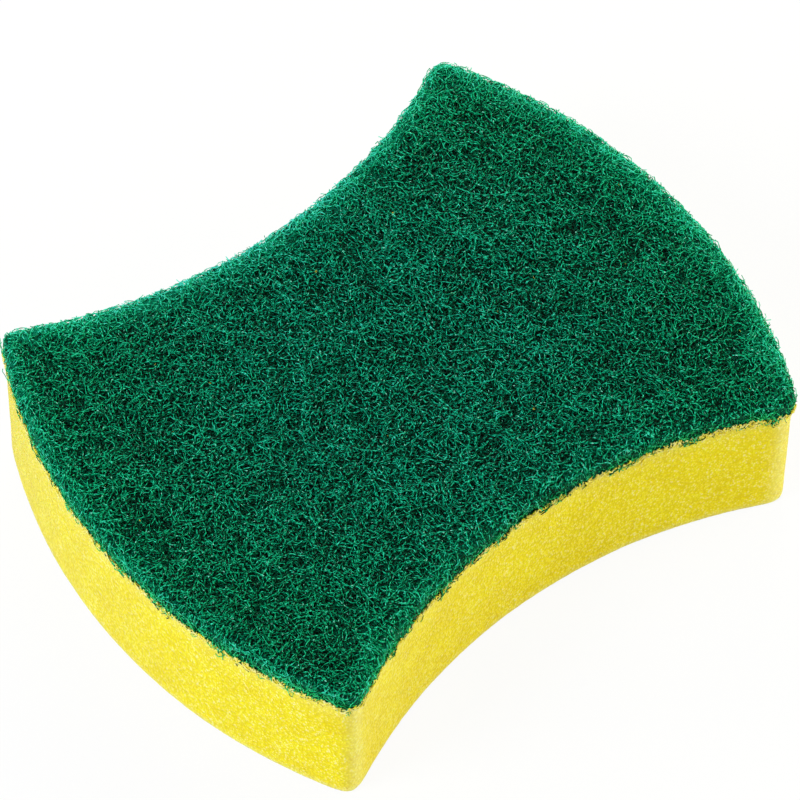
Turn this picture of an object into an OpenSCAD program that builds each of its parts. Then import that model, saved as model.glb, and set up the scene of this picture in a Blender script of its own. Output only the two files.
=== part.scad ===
// Waisted cleaning sponge: a block of cellular foam with a scouring pad of
// bonded fibre laid face to face on top. Both are cut by one die, whose
// outline has two bowed ends, two hollow sides and four rounded corners.
// The bow of the ends nests in the hollow of the sides, so the cutter
// leaves almost no waste. Crimped fibres stand out of the pad's top.
// Millimetres, +X along the length, +Z up, with the origin under the
// middle of the foam.

/* [Outline] */
// Overall length, from the crown of one bowed end to the other
body_len = 110; // [92:0.5:135]
// Width across the waist, between the deepest points of the hollow sides
waist_w = 65; // [45:0.5:80]
// Distance between corners along the length, before they are rounded
corner_len = 87.5; // [70:0.5:105]
// Distance between corners across the width, before they are rounded
corner_w = 87.5; // [70:0.5:105]

/* [Foam block] */
// Height of the foam
foam_h = 23.5; // [12:0.5:45]
// Radius of the foam's four upright corners
foam_corner_r = 3.3; // [2.4:0.1:8]
// Radius of the soft edge round the foam's underside
foot_r = 0.6; // [0.2:0.1:1.1]

/* [Scouring pad] */
// Thickness of the pad
pad_h = 4.5; // [2:0.25:12]
// Radius of the pad's four upright corners
pad_corner_r = 2.4; // [2.4:0.1:8]
// Radius of the matted edge round the pad's top
crown_r = 1.1; // [0.2:0.1:1.1]

/* [Fibre web] */
// How far the raised fibres stand out of the pad, within its thickness
fibre_rise = 0.35; // [0.2:0.05:0.6]
// Width of a raised fibre
fibre_w = 0.7; // [0.5:0.1:1.2]
// Length of a fibre from one crimp to the next
fibre_run = 4; // [3:0.5:7]
// Spacing of the fibres over the pad
fibre_pitch = 7.5; // [6:0.5:15]
// Steepest bend at a crimp, in degrees
crimp = 45; // [10:5:60]

/* [Hidden] */
$fn = 180;
end_rise = (body_len - corner_len) / 2;
side_rise = (corner_w - waist_w) / 2;
end_r = arc_radius(corner_w, end_rise);
side_r = arc_radius(corner_len, side_rise);
// Centre of the arc of the +X end, and of the +Y side
end_c = [body_len / 2 - end_r, 0];
side_c = [0, waist_w / 2 + side_r];
// How far a cutting body reaches past the faces that it cuts
over = 1;
// How far a corner post stays inside the faces that it meets
seam = 0.02;
// Runs in one fibre, with a crimp between each and the next
runs = 4;
fibre_columns = floor(body_len / fibre_pitch);
fibre_rows = floor(corner_w / fibre_pitch);
fibres = fibre_columns * fibre_rows;

// Radius of the arc over a chord with a given rise
function arc_radius(chord, rise) = (chord * chord / 4 + rise * rise) / (2 * rise);

function unit(v) = v / norm(v);

// Centre of the corner's rounding: inside the end arc by r and outside the side arc by r
function corner_centre(r) =
    let (
        gap = norm(side_c - end_c),
        near = end_r - r,
        far = side_r + r,
        along = (near * near - far * far + gap * gap) / (2 * gap),
        aside = sqrt(near * near - along * along),
        u = unit(side_c - end_c)
    )
    end_c + along * u + aside * [u.y, -u.x];

// Directions from a corner's centre to where its rounding meets the end and the side
function end_normal(r) = unit(corner_centre(r) - end_c);
function side_normal(r) = unit(side_c - corner_centre(r));

// Half section of a round post, with its lower and upper rims rounded
module post_section(radius, height, low_r, high_r) {
    difference() {
        square([radius, height]);
        translate([radius, 0])
            rim_waste(height, low_r, high_r);
    }
}

// What rounding takes from the wall that stands on the Y axis, with its solid to the left
module rim_waste(height, low_r, high_r) {
    rim_corner(low_r);
    translate([0, height])
        mirror([0, 1])
            rim_corner(high_r);
}

module rim_corner(r) {
    if (r > 0)
        difference() {
            translate([-r, -over])
                square([r + over, r + over]);
            translate([-r, r])
                circle(r = r);
        }
}

// The waste outside a bowed end: half a ring whose inner wall is the end's arc
module end_cutter(height, low_r, high_r) {
    translate(end_c)
        rotate(-90)
            rotate_extrude(angle = 180)
                translate([end_r, 0]) {
                    translate([0, -over])
                        square([body_len / 2, height + 2 * over]);
                    rim_waste(height, low_r, high_r);
                }
}

// The waste inside a hollow side: a round plug whose outer wall is the side's arc
module side_cutter(height, low_r, high_r) {
    translate(side_c)
        rotate_extrude() {
            translate([0, -over])
                square([side_r, height + 2 * over]);
            translate([side_r, 0])
                mirror([1, 0])
                    rim_waste(height, low_r, high_r);
        }
}

// The sharp tip outside a corner's rounding, and the sector inside it
module corner_tip(r, height) {
    reach = 2 * r;
    translate([corner_centre(r).x, corner_centre(r).y, -over])
        linear_extrude(height + 2 * over)
            polygon([
                [0, 0],
                reach * end_normal(r),
                reach * (end_normal(r) + side_normal(r)),
                reach * side_normal(r)
            ]);
}

// The round post that takes the tip's place, a hair inside the faces that it meets
module corner_post(r, height, low_r, high_r) {
    translate(corner_centre(r))
        rotate_extrude()
            post_section(r - seam, height, low_r, high_r);
}

module mirror_about(axis) {
    children();
    mirror(axis)
        children();
}

module at_each_corner() {
    mirror_about([1, 0])
        mirror_about([0, 1])
            children();
}

// The blank that a slab is cut from
module blank(height) {
    size = [body_len + 2 * over, corner_w + 2 * over];
    translate(-size / 2)
        cube([size.x, size.y, height]);
}

// A slab of the die's outline, with its corners and rims rounded
module die_cut(height, r, low_r, high_r) {
    difference() {
        blank(height);
        mirror_about([1, 0])
            end_cutter(height, low_r, high_r);
        mirror_about([0, 1])
            side_cutter(height, low_r, high_r);
        at_each_corner()
            corner_tip(r, height);
    }
    at_each_corner()
        corner_post(r, height, low_r, high_r);
}

// Outline of the die from above, drawn in from its edge
module inset_outline(inset) {
    difference() {
        square([body_len + 2 * over, corner_w + 2 * over], center = true);
        mirror_about([1, 0])
            difference() {
                translate([0, -corner_w])
                    square([body_len, 2 * corner_w]);
                translate(end_c)
                    circle(r = end_r - inset);
            }
        mirror_about([0, 1])
            translate(side_c)
                circle(r = side_r + inset);
    }
}

function direction(angle) = [cos(angle), sin(angle)];

// Headings of a fibre's runs, each turned from the last by a bend
function headings(bends) = [
    for (
        k = 0, a = 0;
        k <= len(bends);
        a = a + bends[min(k, len(bends) - 1)], k = k + 1
    ) a
];

// Points along a fibre's middle, from its start to its end
function middle_line(turn) = [
    for (
        k = 0, p = [0, 0];
        k <= len(turn);
        p = p + fibre_run * direction(turn[min(k, len(turn) - 1)]), k = k + 1
    ) p
];

// A fibre from above: a strip that bends at each crimp
module crimped_fibre(bends) {
    turn = headings(bends);
    points = middle_line(turn);
    side = [
        for (k = [0 : len(turn)])
            let (before = turn[max(k - 1, 0)], after = turn[min(k, len(turn) - 1)])
            fibre_w / 2 / cos((after - before) / 2) * direction((before + after) / 2 + 90)
    ];
    polygon(concat(
        [for (k = [0 : len(turn)]) points[k] - side[k]],
        [for (k = [len(turn) : -1 : 0]) points[k] + side[k]]
    ));
}

// Fibres laid at random, one from each place in a loose grid
module fibre_web() {
    stray = rands(-0.5, 0.5, 2 * fibres, 11);
    way = rands(0, 360, fibres, 12);
    bend = rands(-crimp, crimp, (runs - 1) * fibres, 13);
    intersection() {
        inset_outline(crown_r + fibre_w);
        for (i = [0 : fibres - 1])
            translate([
                (i % fibre_columns + 0.5 + stray[2 * i] - fibre_columns / 2) * fibre_pitch,
                (floor(i / fibre_columns) + 0.5 + stray[2 * i + 1] - fibre_rows / 2) * fibre_pitch
            ])
                rotate(way[i])
                    crimped_fibre([for (k = [0 : runs - 2]) bend[(runs - 1) * i + k]]);
    }
}

module foam_block() {
    color([0.97, 0.88, 0.22])
        die_cut(foam_h, foam_corner_r, foot_r, 0);
}

module scouring_pad() {
    color([0.02, 0.42, 0.30])
        translate([0, 0, foam_h]) {
            die_cut(pad_h - fibre_rise, pad_corner_r, 0, crown_r);
            translate([0, 0, pad_h - 2 * fibre_rise])
                linear_extrude(2 * fibre_rise)
                    fibre_web();
        }
}

foam_block();
scouring_pad();
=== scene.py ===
import math
import bpy
import numpy as np
from mathutils import Matrix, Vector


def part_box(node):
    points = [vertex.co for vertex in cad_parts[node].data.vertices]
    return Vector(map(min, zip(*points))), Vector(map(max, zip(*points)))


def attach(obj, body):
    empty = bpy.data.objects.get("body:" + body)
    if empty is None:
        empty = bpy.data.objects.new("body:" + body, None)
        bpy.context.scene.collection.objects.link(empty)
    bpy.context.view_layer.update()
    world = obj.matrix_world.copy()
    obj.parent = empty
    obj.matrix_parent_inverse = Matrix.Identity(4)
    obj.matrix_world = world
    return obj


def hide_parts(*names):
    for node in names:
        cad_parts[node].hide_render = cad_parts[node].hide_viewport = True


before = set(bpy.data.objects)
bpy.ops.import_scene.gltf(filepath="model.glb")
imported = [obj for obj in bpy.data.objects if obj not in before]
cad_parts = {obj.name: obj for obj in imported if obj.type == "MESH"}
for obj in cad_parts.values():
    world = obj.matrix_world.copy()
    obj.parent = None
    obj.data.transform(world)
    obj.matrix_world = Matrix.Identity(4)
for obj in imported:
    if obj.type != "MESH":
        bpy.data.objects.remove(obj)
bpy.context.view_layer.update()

# A waisted kitchen sponge: yellow foam under a green scouring pad. Metres, in
# the frame of the CAD model: +X along the length, +Z up, foam's underside at 0.
MM = 0.001

# The die's outline, as in the part's source
BODY_LEN = 110 * MM
WAIST_W = 65 * MM
CORNER_LEN = 87.5 * MM
CORNER_W = 87.5 * MM
END_RISE = (BODY_LEN - CORNER_LEN) / 2
SIDE_RISE = (CORNER_W - WAIST_W) / 2
END_R = (CORNER_W ** 2 / 4 + END_RISE ** 2) / (2 * END_RISE)
SIDE_R = (CORNER_LEN ** 2 / 4 + SIDE_RISE ** 2) / (2 * SIDE_RISE)
END_X = BODY_LEN / 2 - END_R
SIDE_Y = WAIST_W / 2 + SIDE_R
PAD_CORNER_R = 2.4 * MM
CROWN_R = 1.1 * MM
FOAM_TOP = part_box("foam_block")[1][2]
PAD_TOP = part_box("scouring_pad")[1][2]

# Crest of the foam's rounded corners, along X and Y alike
CORNER_CREST = 42.6 * MM
# Points that stand for the outline where fibres follow it
RING_POINTS = 4000
# Length of fibre over which its bend changes, and over which it passes over and under
CRIMP_HOLD = 0.45 * MM
RIPPLE_HOLD = 0.7 * MM
# The light from behind that shines through the pad's far edges, as seen from above
BACK_LIGHT = (0.64, 0.77)

# The camera's place and turn, from the fit to the outline in the photograph
CAMERA_POSE = (
    (0.775200, 0.506887, -0.377003, -0.327220),
    (-0.631651, 0.630500, -0.451095, -0.392126),
    (0.009046, 0.587823, 0.808939, 0.721115),
    (0.000000, 0.000000, 0.000000, 1.000000),
)
FOCAL_LENGTH_MM = 250.6
SENSOR_WIDTH_MM = 36


def set_camera():
    """The photograph's long lens, looking down at 54 degrees over the near corner."""
    lens = bpy.data.cameras.new("long_lens")
    lens.sensor_fit = "HORIZONTAL"
    lens.sensor_width = SENSOR_WIDTH_MM
    lens.lens = FOCAL_LENGTH_MM
    lens.clip_start = 50 * MM
    camera = bpy.data.objects.new("camera", lens)
    bpy.context.scene.collection.objects.link(camera)
    camera.matrix_world = Matrix(CAMERA_POSE)
    bpy.context.scene.camera = camera


# Small helpers

def deselect_all():
    if bpy.context.object and bpy.context.object.mode != "OBJECT":
        bpy.ops.object.mode_set(mode="OBJECT")
    bpy.ops.object.select_all(action="DESELECT")


def finish_modifiers(piece):
    deselect_all()
    piece.select_set(True)
    bpy.context.view_layer.objects.active = piece
    for name in [m.name for m in piece.modifiers]:
        bpy.ops.object.modifier_apply(modifier=name)


def set_place(mesh, points):
    mesh.vertices.foreach_set("co", np.asarray(points, np.float32).ravel())
    mesh.update()


def get_place(mesh):
    points = np.empty(len(mesh.vertices) * 3, np.float32)
    mesh.vertices.foreach_get("co", points)
    return points.reshape(-1, 3).astype(float)


def set_values(mesh, name, values):
    """One number at each point of a mesh, for its material to read."""
    layer = mesh.attributes.new(name, "FLOAT", "POINT")
    layer.data.foreach_set("value", values.astype(np.float32))


def bell(distance, width):
    """1 at distance 0, fading to nothing over about twice the width."""
    return np.exp(-((distance / width) ** 2))


# The die's outline

def end_reach(y):
    """Half the length of the outline at a distance y from its long axis."""
    return END_X + np.sqrt(END_R ** 2 - y ** 2)


def side_reach(x):
    """Half the width of the outline at a distance x from its cross axis."""
    return SIDE_Y - np.sqrt(SIDE_R ** 2 - x ** 2)


def edge_distance(x, y):
    """How far a point lies inside the pad's outline, less than 0 outside."""
    from_end = END_R - np.hypot(np.abs(x) - END_X, y)
    from_side = np.hypot(x, SIDE_Y - np.abs(y)) - SIDE_R
    a = np.clip(PAD_CORNER_R - from_end, 0, None)
    b = np.clip(PAD_CORNER_R - from_side, 0, None)
    in_corner = PAD_CORNER_R - np.hypot(a, b)
    return np.where((a > 0) & (b > 0), in_corner, np.minimum(from_end, from_side))


def outline(count):
    """Points round the pad's outline, evenly spaced, with their outward directions and
    the length all round."""
    rays, halvings = 8000, 40
    t = np.linspace(0, 2 * math.pi, rays + 1)[:-1]
    ray = np.stack([np.cos(t), np.sin(t)], 1)
    near, far = np.full(rays, 20 * MM), np.full(rays, 75 * MM)
    for _ in range(halvings):
        middle = (near + far) / 2
        inside = edge_distance(ray[:, 0] * middle, ray[:, 1] * middle) > 0
        near, far = np.where(inside, middle, near), np.where(inside, far, middle)
    p = ray * near[:, None]
    run = np.concatenate([[0], np.cumsum(np.hypot(*(np.roll(p, -1, 0) - p).T))])
    closed = np.concatenate([p, p[:1]])
    s = np.linspace(0, run[-1], count + 1)[:-1]
    p = np.stack([np.interp(s, run, closed[:, k]) for k in (0, 1)], 1)
    along = np.roll(p, -1, 0) - np.roll(p, 1, 0)
    out = np.stack([along[:, 1], -along[:, 0]], 1)
    return p, out / np.linalg.norm(out, axis=1)[:, None], run[-1]


def on_wall(ring, out, girth, s):
    """The points and outward directions at distances s round the outline."""
    at = (s / girth * len(ring)).astype(int) % len(ring)
    part = ((s / girth * len(ring)) % 1)[..., None]
    after = (at + 1) % len(ring)
    return ring[at] * (1 - part) + ring[after] * part, out[at] * (1 - part) + out[after] * part


def lit_from_behind(out_x, out_y):
    """From 0 to 1, how far an edge faces the light that comes from behind the sponge."""
    return 0.5 + 0.5 * (BACK_LIGHT[0] * out_x + BACK_LIGHT[1] * out_y)


def edge_glow(x, y):
    """How much light comes through the web near its cut edge: most on the two sides
    that are lit from behind, and fading over a few millimetres."""
    h, fade = 0.05 * MM, 2 * MM
    least, gain = 0.1, 1.55
    out_x = (edge_distance(x - h, y) - edge_distance(x + h, y)) / (2 * h)
    out_y = (edge_distance(x, y - h) - edge_distance(x, y + h)) / (2 * h)
    depth = np.clip(edge_distance(x, y), 0, None)
    return (least + gain * lit_from_behind(out_x, out_y)) * np.exp(-depth / fade)


def crown_drop(d):
    """How far the pad's top falls within its rounded rim, d from the edge."""
    t = np.clip(CROWN_R - d, 0, CROWN_R)
    return CROWN_R - np.sqrt(CROWN_R ** 2 - t ** 2)


def tufts(x, y):
    """An uneven wave from -1 to 1 with crests one to three millimetres apart, for the
    tufts that the die leaves along the web's edge."""
    # Length in mm, heading and shift of each wave
    waves = ((0.9, 2.6, 3.0), (1.2, 0.3, 1.0), (1.8, 1.9, 2.0), (2.7, 1.1, 5.0))
    total = 0
    for length, heading, shift in waves:
        along = x * math.cos(heading) + y * math.sin(heading)
        total = total + np.sin(along * 2 * math.pi / (length * MM) + shift)
    return total / len(waves)


def fringe(s):
    """The ragged line where pad and foam meet: its height above the foam's top at a
    distance s round the outline."""
    # Length in mm over 2 pi, and shift, of each wave
    waves = ((0.4, 1), (0.7, 5), (1.1, 2), (1.9, 4))
    total = 0
    for length, shift in waves:
        total = total + math.sqrt(length) * np.sin(s / (length * MM) + shift)
    return 0.35 * MM * total


# The die-cut slabs: a cube, cut into a grid, whose rows bow with the die

def spread(t, count, half, edge):
    """Even steps from -1 to 1, except for a narrow one of a given width at each end."""
    slack = 1e-6
    first = 1 - 2 / count
    inner = (half - edge) / half
    return np.where(
        np.abs(t) <= first + slack,
        t / first * inner,
        np.sign(t) * (inner + (np.abs(t) - first) / (1 - first) * (1 - inner)),
    )


def cut_slab(name, low, high, inset, border, rim, levels, columns, rows=4):
    """A closed slab of the die's outline from low to high, its corners and rims
    softened over the widths of border and rim."""
    deselect_all()
    bpy.ops.mesh.primitive_cube_add(size=2)
    slab = bpy.context.object
    slab.name = name
    slab.data.name = name
    bpy.ops.object.mode_set(mode="EDIT")
    for axis, count in ((0, columns), (1, columns), (2, rows)):
        for k in range(1, count):
            at = [0.0, 0.0, 0.0]
            at[axis] = 2 * k / count - 1
            way = [0.0, 0.0, 0.0]
            way[axis] = 1.0
            bpy.ops.mesh.select_all(action="SELECT")
            bpy.ops.mesh.bisect(plane_co=at, plane_no=way)
    bpy.ops.object.mode_set(mode="OBJECT")
    p = get_place(slab.data)
    half = CORNER_LEN / 2
    u = spread(p[:, 0], columns, half, border)
    v = spread(p[:, 1], columns, half, border)
    w = spread(p[:, 2], rows, (high - low) / 2, rim)
    x = u * (end_reach(v * CORNER_W / 2) - inset)
    y = v * (side_reach(u * CORNER_LEN / 2) - inset)
    z = low + (w + 1) / 2 * (high - low)
    set_place(slab.data, np.stack([x, y, z], 1))
    soften = slab.modifiers.new("soften", "SUBSURF")
    soften.levels = soften.render_levels = levels
    finish_modifiers(slab)
    return slab


def roughen(slab, name, grain, height):
    """Raise and lower a surface by a cloudy noise of a given grain."""
    texture = bpy.data.textures.new(name, "CLOUDS")
    texture.noise_scale = grain
    swell = slab.modifiers.new(name, "DISPLACE")
    swell.texture = texture
    swell.texture_coords = "LOCAL"
    swell.strength = height
    swell.mid_level = 0.5
    finish_modifiers(slab)


# The scouring web: long crimped fibres, clipped by the die

def crimp(rng, count, steps, step, tightness):
    """Headings of fibres whose bend wanders: tightness is the usual bend per metre."""
    keep = math.exp(-step / CRIMP_HOLD)
    bend = rng.normal(size=count) * tightness
    heading = rng.uniform(0, 2 * math.pi, count)
    out = np.empty((count, steps))
    for k in range(steps):
        out[:, k] = heading
        bend = keep * bend + math.sqrt(1 - keep ** 2) * rng.normal(size=count) * tightness
        heading = heading + bend * step
    return out


def ripple(rng, count, steps, step, wander):
    """A smooth wander about zero, for the way that fibres pass over and under."""
    keep = math.exp(-step / RIPPLE_HOLD)
    follow = 0.4
    slow = rng.normal(size=count)
    fast = slow.copy()
    out = np.empty((count, steps))
    for k in range(steps):
        slow = keep * slow + math.sqrt(1 - keep ** 2) * rng.normal(size=count)
        fast = (1 - follow) * fast + follow * slow
        out[:, k] = fast * wander
    return out


def scatter(rng, count, length, width):
    """Starting points spread evenly over a rectangle, one in each cell of a jittered grid."""
    columns = round(math.sqrt(count * length / width))
    rows = math.ceil(count / columns)
    cell = rng.permutation(columns * rows)[:count]
    u = (cell % columns + rng.uniform(size=count)) / columns - 0.5
    v = (cell // columns + rng.uniform(size=count)) / rows - 0.5
    return u * length, v * width


def draw_fibres(name, paths, shown, widths, tones):
    """Fibres as closed three-sided tubes: one spline for each run that is shown, with
    a tone at each of its points."""
    sides, fewest_points = 3, 3
    deselect_all()
    profile = bpy.data.curves.new(name + "_profile", "CURVE")
    profile.dimensions = "2D"
    ring = profile.splines.new("POLY")
    ring.points.add(sides - 1)
    for k in range(sides):
        turn = 2 * math.pi * k / sides
        ring.points[k].co = (math.cos(turn), math.sin(turn), 0, 1)
    ring.use_cyclic_u = True
    profile_object = bpy.data.objects.new(name + "_profile", profile)
    bpy.context.scene.collection.objects.link(profile_object)

    web = bpy.data.curves.new(name, "CURVE")
    web.dimensions = "3D"
    web.resolution_u = 1
    web.bevel_mode = "OBJECT"
    web.bevel_object = profile_object
    web.use_fill_caps = True
    web.twist_mode = "MINIMUM"
    tube_tones, cap_tones = [], []
    for path, seen, width, tone in zip(paths, shown, widths, tones):
        edges = np.flatnonzero(np.diff(np.concatenate([[0], seen.astype(int), [0]])))
        for a, b in zip(edges[::2], edges[1::2]):
            n = b - a
            if n < fewest_points:
                continue
            spline = web.splines.new("POLY")
            spline.points.add(n - 1)
            co = np.ones((n, 4), np.float32)
            co[:, :3] = path[a:b]
            spline.points.foreach_set("co", co.ravel())
            spline.points.foreach_set("radius", np.full(n, width, np.float32))
            spline.use_smooth = True
            tube_tones.append(np.repeat(tone[a:b], sides))
            cap_tones.append(np.repeat([tone[b - 1], tone[a]], sides))
    fibres = bpy.data.objects.new(name, web)
    bpy.context.scene.collection.objects.link(fibres)
    fibres.select_set(True)
    bpy.context.view_layer.objects.active = fibres
    bpy.ops.object.convert(target="MESH")
    fibres = bpy.context.object
    bpy.data.objects.remove(profile_object)
    # Blender writes the end caps first, from the last fibre to the first, then the tubes
    set_values(fibres.data, "tone", np.concatenate(cap_tones[::-1] + tube_tones))
    bpy.ops.object.mode_set(mode="EDIT")
    bpy.ops.mesh.select_all(action="SELECT")
    bpy.ops.mesh.remove_doubles(threshold=0.001 * MM)
    bpy.ops.mesh.normals_make_consistent(inside=False)
    bpy.ops.object.mode_set(mode="OBJECT")
    bpy.ops.object.shade_smooth()
    return fibres


def top_layer(name, seed, count, depth, wander, tightness, width):
    """Fibres that lie in the face of the pad, depth below its top. The deeper a fibre
    dips, the darker it is, as painted shade, and near the cut edge it is lighter, as
    painted light from behind."""
    steps, step, margin = 13, 0.7 * MM, 6 * MM
    highest, lowest = -0.1 * MM, 1.4 * MM
    tuft_reach = 0.8 * MM
    face_tone, dip_tone = 0.765, 0.68
    dip_from, dip_over = 0.2 * MM, 0.55 * MM
    rng = np.random.default_rng(seed)
    heading = crimp(rng, count, steps, step, tightness)
    x, y = scatter(rng, count, BODY_LEN + margin, CORNER_W + margin)
    x = x[:, None] + np.cumsum(np.cos(heading), 1) * step
    y = y[:, None] + np.cumsum(np.sin(heading), 1) * step
    d = edge_distance(x, y)
    cut = rng.normal(-0.2 * MM, 0.3 * MM, count)[:, None]
    shown = d > cut + tuft_reach * tufts(x, y)
    below = np.clip(depth + ripple(rng, count, steps, step, wander), highest, lowest)
    z = PAD_TOP - crown_drop(np.clip(d, 0, None)) - below
    widths = rng.uniform(0.75, 1.25, count) * width / 2
    own = rng.normal(0, 0.08, count)[:, None]
    # Painted shade: the deeper a fibre dips under the others, the darker its tone
    dip = np.clip((below - dip_from) / dip_over, 0, 1)
    tones = face_tone - dip_tone * dip + own + edge_glow(x, y)
    return draw_fibres(name, np.stack([x, y, z], 2), shown, widths, tones)


def wall_layer(name, seed, count, depth, wander, tightness, width, tone):
    """Fibres in the cut wall of the pad, ragged along the foam. Their tone holds painted
    light: lightest low on the left, where the key lamp falls, a little lighter higher up,
    and where light comes through from behind. Painted shade darkens them where they
    dip inward, and they are a little darker where they hang over the foam."""
    steps, step, upright = 13, 0.5 * MM, 1.4
    tight_below, hang = 1.5 * MM, 0.3 * MM
    own_tone, lightest = 0.42, 1.6
    rng = np.random.default_rng(seed)
    ring, out, girth = outline(RING_POINTS)
    heading = crimp(rng, count, steps, step, tightness)
    s = rng.uniform(0, girth, count)[:, None] + np.cumsum(np.cos(heading), 1) * step
    z = rng.uniform(FOAM_TOP - 1.5 * MM, PAD_TOP + 0.5 * MM, count)[:, None]
    z = z + np.cumsum(np.sin(heading), 1) * step * upright
    p, n = on_wall(ring, out, girth, s)
    # Near the foam the fibres lie close to the wall, and their lower ends hang over it
    loose = np.clip((z - FOAM_TOP) / tight_below, 0.2, 1)
    waves = ripple(rng, count, steps, step, wander)
    over_crown = np.clip(z - (PAD_TOP - CROWN_R), 0, None)
    inward = depth + waves * loose + 0.7 * over_crown
    inward = np.where(z < FOAM_TOP + 0.05 * MM, -hang, inward)
    ragged = FOAM_TOP + fringe(s) + rng.normal(-0.3 * MM, 0.5 * MM, count)[:, None]
    shown = (z > ragged) & (z < PAD_TOP - 0.5 * MM)
    xy = p - n * inward[..., None]
    paths = np.concatenate([xy, z[..., None]], 2)
    widths = rng.uniform(0.75, 1.25, count) * width / 2
    height = np.clip((z - FOAM_TOP) / (PAD_TOP - FOAM_TOP), 0, 1)
    left = np.clip(-n[..., 0], 0, 1)
    behind = np.clip(lit_from_behind(n[..., 0], n[..., 1]) - 0.3, 0, 1)
    hanging = np.clip((FOAM_TOP + 0.5 * MM - z) / (0.6 * MM), 0, 1)
    # Painted light from the key lamp on the left, higher up and from behind; painted shade where
    # a fibre dips inward; a little darker where it hangs over the foam
    tones = tone + 0.15 * height + left * (0.26 + 0.4 * (1 - height)) + 1.4 * behind
    tones = tones - 0.1 * hanging - waves / (0.55 * MM)
    tones = tones + rng.normal(0, own_tone, count)[:, None]
    return draw_fibres(name, paths, shown, widths, np.clip(tones, 0, lightest))


def foam_rim(name, seed, count, width):
    """Torn cell walls of the foam that stand up over the web's lower edge, leaning
    out a little toward their tips."""
    steps, step = 6, 0.26 * MM
    root, tip = -0.4 * MM, 0.85 * MM
    stand_low, stand_high = 0.2 * MM, 0.36 * MM
    rng = np.random.default_rng(seed)
    ring, out, girth = outline(RING_POINTS)
    lean = rng.normal(0, 0.75, count)[:, None] + rng.normal(0, 0.3, (count, steps))
    s = rng.uniform(0, girth, count)[:, None] + np.cumsum(np.sin(lean), 1) * step
    z = FOAM_TOP + root + np.cumsum(np.cos(lean), 1) * step
    torn = FOAM_TOP + tip + fringe(s) + rng.normal(0, 0.4 * MM, count)[:, None]
    p, n = on_wall(ring, out, girth, s)
    stand = np.linspace(stand_low, stand_high, steps) + rng.normal(0, 0.08 * MM, count)[:, None]
    xy = p + n * stand[..., None]
    paths = np.concatenate([xy, z[..., None]], 2)
    widths = rng.uniform(0.7, 1.3, count) * width / 2
    return draw_fibres(name, paths, z < torn, widths, np.zeros((count, steps)))


# Materials

# Settings of the nodes that they are made of
TIMES = {"operation": "MULTIPLY"}
TIMES_PLUS = {"operation": "MULTIPLY_ADD"}
LESS_THAN = {"operation": "LESS_THAN"}
LARGER = {"operation": "MAXIMUM"}
LENGTH = {"operation": "LENGTH"}
FROM_CENTRE = {"feature": "F1"}
FROM_EDGE = {"feature": "DISTANCE_TO_EDGE"}
BLEND = {"data_type": "RGBA"}
TINT = {"data_type": "RGBA", "blend_type": "MULTIPLY"}
EDGE_LIGHT_VALUE = {"attribute_name": "edge", "attribute_type": "GEOMETRY"}
TONE_VALUE = {"attribute_name": "tone", "attribute_type": "GEOMETRY"}


def to_linear(code):
    """An sRGB hex value as linear colour."""
    parts = [int(code[k:k + 2], 16) / 255 for k in (0, 2, 4)]
    linear = [c / 12.92 if c <= 0.04045 else ((c + 0.055) / 1.055) ** 2.4 for c in parts]
    return linear + [1.0]


def add_node(tree, kind, settings=None, stops=(), **inputs):
    """One node with its settings, the stops of a colour ramp, and its inputs, each a
    value or another node's output. An input is named, or numbered after the letter i."""
    node = tree.nodes.new("ShaderNode" + kind)
    for key, value in (settings or {}).items():
        setattr(node, key, value)
    if stops:
        elements = node.color_ramp.elements
        for _ in stops[2:]:
            elements.new(0.5)
        for element, (at, colour) in zip(elements, stops):
            element.position = at
            element.color = to_linear(colour)
    for key, value in inputs.items():
        numbered = key[0] == "i" and key[1:].isdigit()
        socket = node.inputs[int(key[1:]) if numbered else key.replace("_", " ")]
        if isinstance(value, bpy.types.NodeSocket):
            tree.links.new(value, socket)
        else:
            socket.default_value = value
    return node


def new_material(name):
    material = bpy.data.materials.new(name)
    material.use_nodes = True
    tree = material.node_tree
    tree.nodes.clear()
    return material, tree


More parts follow.
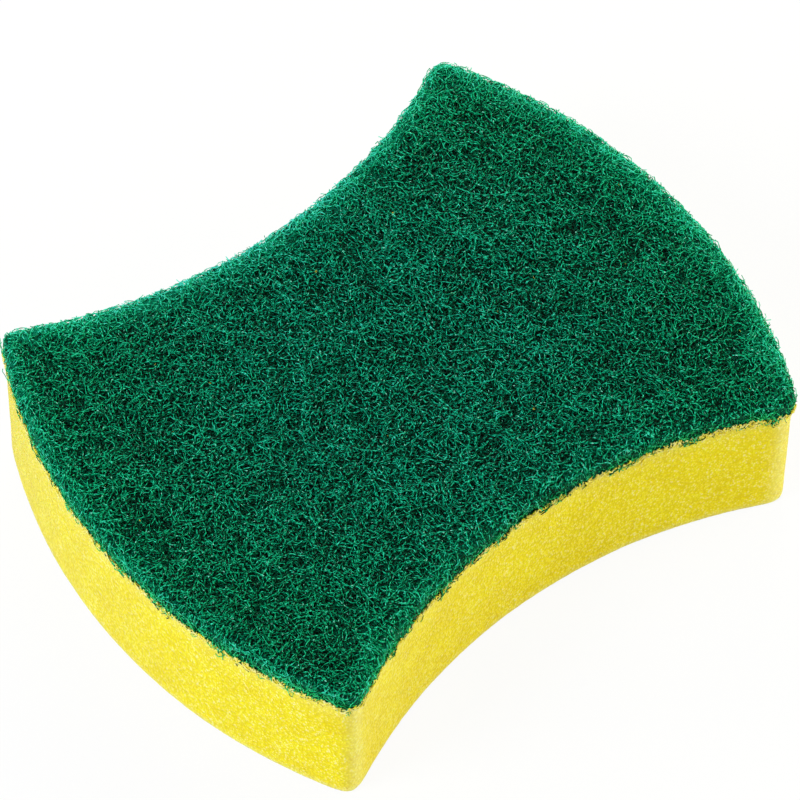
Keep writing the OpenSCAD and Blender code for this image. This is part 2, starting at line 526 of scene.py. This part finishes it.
def flexible_foam():
    """Polyurethane foam, sliced by a die: cut open cells of about 0.4 mm, taller than
    wide as the foam rose, with pale walls and deeper hollows, and a slow change of
    tone every 6 mm. Light sinks in up to 2 mm and comes back warm."""
    material, tree = new_material("flexible_polyurethane_foam")
    place = add_node(tree, "TexCoord").outputs["Object"]
    rise = add_node(tree, "VectorMath", TIMES, i0=place, i1=(1, 1, 0.75)).outputs[0]
    cells = add_node(tree, "TexVoronoi", FROM_CENTRE, Vector=rise, Scale=2.45 / MM)
    fine = add_node(tree, "TexNoise", Vector=rise, Scale=1.45 / MM, Detail=2, Roughness=0.6)
    depth = add_node(
        tree, "Math", TIMES_PLUS,
        i0=cells.outputs["Distance"], i1=0.7, i2=fine.outputs["Fac"],
    )
    yellow = add_node(
        tree, "ValToRGB", stops=((0.50, "FFF3A8"), (0.74, "FBEB16"), (1.00, "EEDA00")),
        Fac=depth.outputs[0],
    )
    broad = add_node(tree, "TexNoise", Vector=place, Scale=0.16 / MM, Detail=3, Roughness=0.6)
    patch = add_node(
        tree, "ValToRGB", stops=((0.35, "FFFFFF"), (0.65, "F8F4E4")),
        Fac=broad.outputs["Fac"],
    )
    mixed = add_node(tree, "Mix", TINT, i0=1.0, i6=yellow.outputs[0], i7=patch.outputs[0])
    # Painted light at the foam's corners, top and foot, read from the mesh's edge attribute
    edge_light_share = add_node(tree, "Attribute", EDGE_LIGHT_VALUE).outputs["Fac"]
    pale = add_node(tree, "Mix", BLEND, i0=edge_light_share, i6=mixed.outputs[2], i7=to_linear("FFFCB4"))
    bump = add_node(
        tree, "Bump", {"invert": True},
        Strength=0.65, Distance=0.3 * MM, Height=depth.outputs[0],
    )
    skin = add_node(
        tree, "BsdfPrincipled",
        Base_Color=pale.outputs[2], Roughness=0.85, Specular_IOR_Level=0.12,
        Sheen_Weight=0.5, Sheen_Roughness=0.3,
        Subsurface_Weight=0.35, Subsurface_Radius=(1.0, 0.75, 0.2), Subsurface_Scale=2 * MM,
        Normal=bump.outputs[0],
    )
    add_node(tree, "OutputMaterial", Surface=skin.outputs[0])
    return material


def torn_foam():
    """The same foam where the die has torn its cells into tufts, thin, matt and pale,
    with a grain of about 0.7 mm."""
    material, tree = new_material("torn_polyurethane_foam")
    place = add_node(tree, "TexCoord").outputs["Object"]
    grain = add_node(tree, "TexNoise", Vector=place, Scale=1.45 / MM, Detail=1)
    yellow = add_node(
        tree, "ValToRGB", stops=((0.35, "FAE83C"), (0.65, "FFF8A8")),
        Fac=grain.outputs["Fac"],
    )
    skin = add_node(
        tree, "BsdfPrincipled",
        Base_Color=yellow.outputs[0], Roughness=0.9, Specular_IOR_Level=0.1,
    )
    add_node(tree, "OutputMaterial", Surface=skin.outputs[0])
    return material


def web_green(tree, place):
    """Greens along a fibre: its tone, which holds painted shade and light, with painted
    light and dark lengths of about 0.4 mm where it turns in the light, and slow changes
    every 6 mm. The pad is teal in the middle, greener toward its corners, and yellower
    down its wall, by the foam."""
    middle, corner = 34 * MM, 58 * MM
    wall_top, wall_foot = PAD_TOP - 1.2 * MM, FOAM_TOP + 1.2 * MM
    tone = add_node(tree, "Attribute", TONE_VALUE).outputs["Fac"]
    along = add_node(tree, "TexNoise", Vector=place, Scale=2.6 / MM, Detail=0).outputs["Fac"]
    broad = add_node(tree, "TexNoise", Vector=place, Scale=0.17 / MM, Detail=3).outputs["Fac"]
    # Painted light and shade: light and dark lengths where a fibre turns in the light
    turned = add_node(tree, "Math", TIMES_PLUS, i0=along, i1=3.4, i2=tone).outputs[0]
    varied = add_node(tree, "Math", TIMES_PLUS, i0=broad, i1=0.3, i2=turned).outputs[0]
    level = add_node(tree, "Math", TIMES_PLUS, i0=varied, i1=0.375, i2=-0.516).outputs[0]
    # From the near black of painted shade in the gaps to the pale teal of painted light
    stops = (
        (0.20, "00120A"),
        (0.39, "006C4E"),
        (0.555, "04AC86"),
        (0.72, "20CCA0"),
        (0.93, "54ECE0"),
    )
    green = add_node(tree, "ValToRGB", stops=stops, Fac=level).outputs[0]
    reach = add_node(tree, "VectorMath", LENGTH, i0=place).outputs["Value"]
    far = add_node(tree, "MapRange", i0=reach, i1=middle, i2=corner).outputs[0]
    green = add_node(tree, "Mix", TINT, i0=far, i6=green, i7=to_linear("D8FFE6")).outputs[2]
    height = add_node(tree, "SeparateXYZ", i0=place).outputs["Z"]
    down = add_node(tree, "MapRange", i0=height, i1=wall_top, i2=wall_foot).outputs[0]
    return add_node(tree, "Mix", TINT, i0=down, i6=green, i7=to_linear("FFFFC4")).outputs[2]


def resin_bonded_fibre():
    """Polyester fibre, crimped and bonded with green resin: teal where the light passes
    through a fibre and near black in the gaps, as painted light and shade. Cells of
    1.2 mm each hold a small painted glint, a painted highlight that looks wet, and
    cells of 6 mm a speck of yellow grit."""
    material, tree = new_material("resin_bonded_polyester_fibre")
    place = add_node(tree, "TexCoord").outputs["Object"]
    green = web_green(tree, place)
    # A painted glint, a painted highlight, in each 1.2 mm cell; a speck of yellow grit, the web's
    # own colour, in each 6 mm cell
    for cells_per_mm, size, colour in ((0.85, 0.13, "84E4CC"), (0.17, 0.035, "C4B43C")):
        cells = add_node(tree, "TexVoronoi", FROM_CENTRE, Vector=place, Scale=cells_per_mm / MM)
        dot = add_node(tree, "Math", LESS_THAN, i0=cells.outputs["Distance"], i1=size).outputs[0]
        green = add_node(tree, "Mix", BLEND, i0=dot, i6=green, i7=to_linear(colour)).outputs[2]
    fibre = add_node(
        tree, "BsdfPrincipled",
        Base_Color=green, Roughness=0.35, Specular_IOR_Level=0.06,
    )
    add_node(tree, "OutputMaterial", Surface=fibre.outputs[0])
    return material


def matted_fibre():
    """The same web deeper down, where fibres shade each other, painted dark as painted
    shade: a dark net whose meshes are about 0.6 mm across, with painted light near
    the edges that are lit from behind."""
    material, tree = new_material("matted_polyester_web")
    place = add_node(tree, "TexCoord").outputs["Object"]
    warp = add_node(tree, "TexNoise", Vector=place, Scale=0.7 / MM, Detail=2).outputs["Color"]
    push = (0.9 * MM,) * 3
    bent = add_node(tree, "VectorMath", TIMES_PLUS, i0=warp, i1=push, i2=place).outputs[0]
    net = add_node(tree, "TexVoronoi", FROM_EDGE, Vector=bent, Scale=1.7 / MM)
    line = net.outputs["Distance"]
    # The dark net is painted shade; the lighter greens are painted light from behind at the cut
    # edge
    deep_stops = ((0.0, "00805C"), (0.10, "003624"), (0.22, "000603"))
    open_lit_stops = ((0.0, "18B890"), (0.2, "068462"), (0.5, "024A34"))
    deep = add_node(tree, "ValToRGB", stops=deep_stops, Fac=line).outputs[0]
    open_lit_edge = add_node(tree, "ValToRGB", stops=open_lit_stops, Fac=line).outputs[0]
    # How much of the painted light from behind shows, near the thin cut edge
    thin = add_node(tree, "Attribute", TONE_VALUE).outputs["Fac"]
    green = add_node(tree, "Mix", BLEND, i0=thin, i6=deep, i7=open_lit_edge).outputs[2]
    ridge = add_node(tree, "ValToRGB", stops=((0.0, "FFFFFF"), (0.3, "000000")), Fac=line)
    bump = add_node(tree, "Bump", Strength=0.9, Distance=0.3 * MM, Height=ridge.outputs[0])
    web = add_node(
        tree, "BsdfPrincipled",
        Base_Color=green, Roughness=0.7, Specular_IOR_Level=0.05, Normal=bump.outputs[0],
    )
    add_node(tree, "OutputMaterial", Surface=web.outputs[0])
    return material


# The pieces

def dress(piece, material):
    piece.data.materials.clear()
    piece.data.materials.append(material)
    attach(piece, "root")


def make_foam():
    """The foam block, cut flat at its top and bottom, with a slight sag in its sides.
    Its edges are painted paler, as painted light: the upright corners where they catch
    the light, the top against the shade under the pad, and the foot against the shade
    by the floor."""
    overshoot, outset, end_stretch = 1.5 * MM, 0.1 * MM, 1.002
    foam = cut_slab(
        "foam_cells", 0, FOAM_TOP + overshoot, -outset,
        border=4.6 * MM, rim=0.35 * MM, levels=3, columns=16,
    )
    roughen(foam, "sag", 14 * MM, 0.26 * MM)
    roughen(foam, "cells", 0.9 * MM, 0.1 * MM)
    p = get_place(foam.data)
    p[:, 2] = np.clip(p[:, 2], 0, FOAM_TOP)
    # In the photograph the foam's bowed ends stand a hair past the pad's
    p[:, 0] *= end_stretch
    set_place(foam.data, p)
    from_corner = np.hypot(np.abs(p[:, 0]) - CORNER_CREST, np.abs(p[:, 1]) - CORNER_CREST)
    # Painted light on the foam's edges: the corners, the top under the pad's shade, and the foot
    painted_edge_light = 0.3 * bell(from_corner, 1.5 * MM)
    painted_edge_light = painted_edge_light + 0.14 * bell(FOAM_TOP - p[:, 2], 2.5 * MM)
    painted_edge_light = painted_edge_light + 0.35 * bell(p[:, 2], 1.2 * MM)
    set_values(foam.data, "edge", painted_edge_light)
    bpy.ops.object.shade_smooth()
    dress(foam, flexible_foam())
    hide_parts("foam_block")


def make_mat():
    """The dense inside of the pad, lumpy, just under its loose fibres."""
    overshoot, sink, inset = 1.5 * MM, 0.95 * MM, 0.05 * MM
    mat = cut_slab(
        "matted_web", FOAM_TOP - overshoot, PAD_TOP - sink, inset,
        border=3.0 * MM, rim=1.3 * MM, levels=2, columns=24,
    )
    roughen(mat, "lumps", 5 * MM, 0.5 * MM)
    roughen(mat, "clumps", 1.2 * MM, 0.5 * MM)
    p = get_place(mat.data)
    p[:, 2] = np.maximum(p[:, 2], FOAM_TOP)
    set_place(mat.data, p)
    # Painted light from behind, near the mat's cut edge, for its material to read
    set_values(mat.data, "tone", np.clip(edge_glow(p[:, 0], p[:, 1]) * 1.2, 0, 1))
    bpy.ops.object.shade_smooth()
    dress(mat, matted_fibre())
    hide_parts("scouring_pad")


def make_fibres():
    """The loose fibres, in four layers of the pad's face and one in its wall, and the
    foam's tufts among them. Real ones are finer: these are as thick as they have to be
    to show in the render."""
    finish = resin_bonded_fibre()
    # Name, seed, count, depth, wander, bend per metre and width of each layer
    for piece in (
        top_layer("web_deep", 11, 3000, 0.80 * MM, 0.35 * MM, 900, 0.15 * MM),
        top_layer("web_low", 12, 3000, 0.60 * MM, 0.35 * MM, 800, 0.15 * MM),
        top_layer("web_middle", 13, 3600, 0.40 * MM, 0.35 * MM, 900, 0.14 * MM),
        top_layer("web_top", 15, 3600, 0.25 * MM, 0.30 * MM, 800, 0.14 * MM),
        wall_layer("web_wall", 14, 3600, -0.02 * MM, 0.35 * MM, 1200, 0.15 * MM, tone=0.52),
    ):
        dress(piece, finish)
    dress(foam_rim("foam_rim", 16, 1600, 0.24 * MM), torn_foam())


# Floor and light

def seen_white(tree):
    """1 for what the camera sees, straight or in a gloss, and 0 for what lights the part."""
    path = add_node(tree, "LightPath").outputs
    camera, glossy = path["Is Camera Ray"], path["Is Glossy Ray"]
    return add_node(tree, "Math", LARGER, i0=camera, i1=glossy).outputs[0]


def lay_floor():
    """A white sweep just under the sponge, which keeps a little of its shadow."""
    gap, glow_share = 0.2 * MM, 0.92
    deselect_all()
    bpy.ops.mesh.primitive_plane_add(size=6, location=(0, 0, -gap))
    floor = bpy.context.object
    floor.name = "floor"
    material, tree = new_material("white_sweep")
    share = add_node(tree, "Math", TIMES, i0=seen_white(tree), i1=glow_share).outputs[0]
    paper = add_node(tree, "BsdfDiffuse", Color=to_linear("F8F8F8")).outputs[0]
    glow = add_node(tree, "Emission", Color=(1, 1, 1, 1), Strength=1.0).outputs[0]
    both = add_node(tree, "MixShader", Fac=share, i1=paper, i2=glow).outputs[0]
    add_node(tree, "OutputMaterial", Surface=both)
    floor.data.materials.append(material)


def soft_lamp(name, place, size, watts, tint="FFFFFF"):
    """A square softbox turned to the sponge."""
    lamp = bpy.data.lights.new(name, "AREA")
    lamp.size = size
    lamp.energy = watts
    lamp.color = to_linear(tint)[:3]
    box = bpy.data.objects.new(name, lamp)
    bpy.context.scene.collection.objects.link(box)
    box.location = place
    way = -box.location.normalized()
    box.rotation_euler = way.to_track_quat("-Z", "Y").to_euler()


def light_room():
    """A white room that lights the part at less than half of what the camera sees, a
    cool key lamp on the left, a warm fill on the right, a weak lamp in front and one
    behind."""
    lit, seen = 0.45, 1.0
    world = bpy.data.worlds.new("white_room")
    bpy.context.scene.world = world
    world.use_nodes = True
    tree = world.node_tree
    tree.nodes.clear()
    strength = add_node(tree, "Mix", {"data_type": "FLOAT"}, i0=seen_white(tree), i2=lit, i3=seen)
    sky = add_node(tree, "Background", Color=(1, 1, 1, 1), Strength=strength.outputs[0])
    add_node(tree, "OutputWorld", Surface=sky.outputs[0])
    soft_lamp("key_softbox", (-0.95, 0.18, 0.8), size=0.55, watts=9.9, tint="F0F8FF")
    soft_lamp("fill_softbox", (1.05, -0.6, 0.45), size=0.7, watts=8.5, tint="FFF8A0")
    soft_lamp("front_softbox", (-0.25, -1.0, 0.45), size=0.5, watts=0.4)
    soft_lamp("back_softbox", (0.6, 0.8, 0.5), size=0.6, watts=5)


set_camera()
make_foam()
make_mat()
make_fibres()
lay_floor()
light_room()
bpy.context.scene.view_settings.view_transform = "Standard"
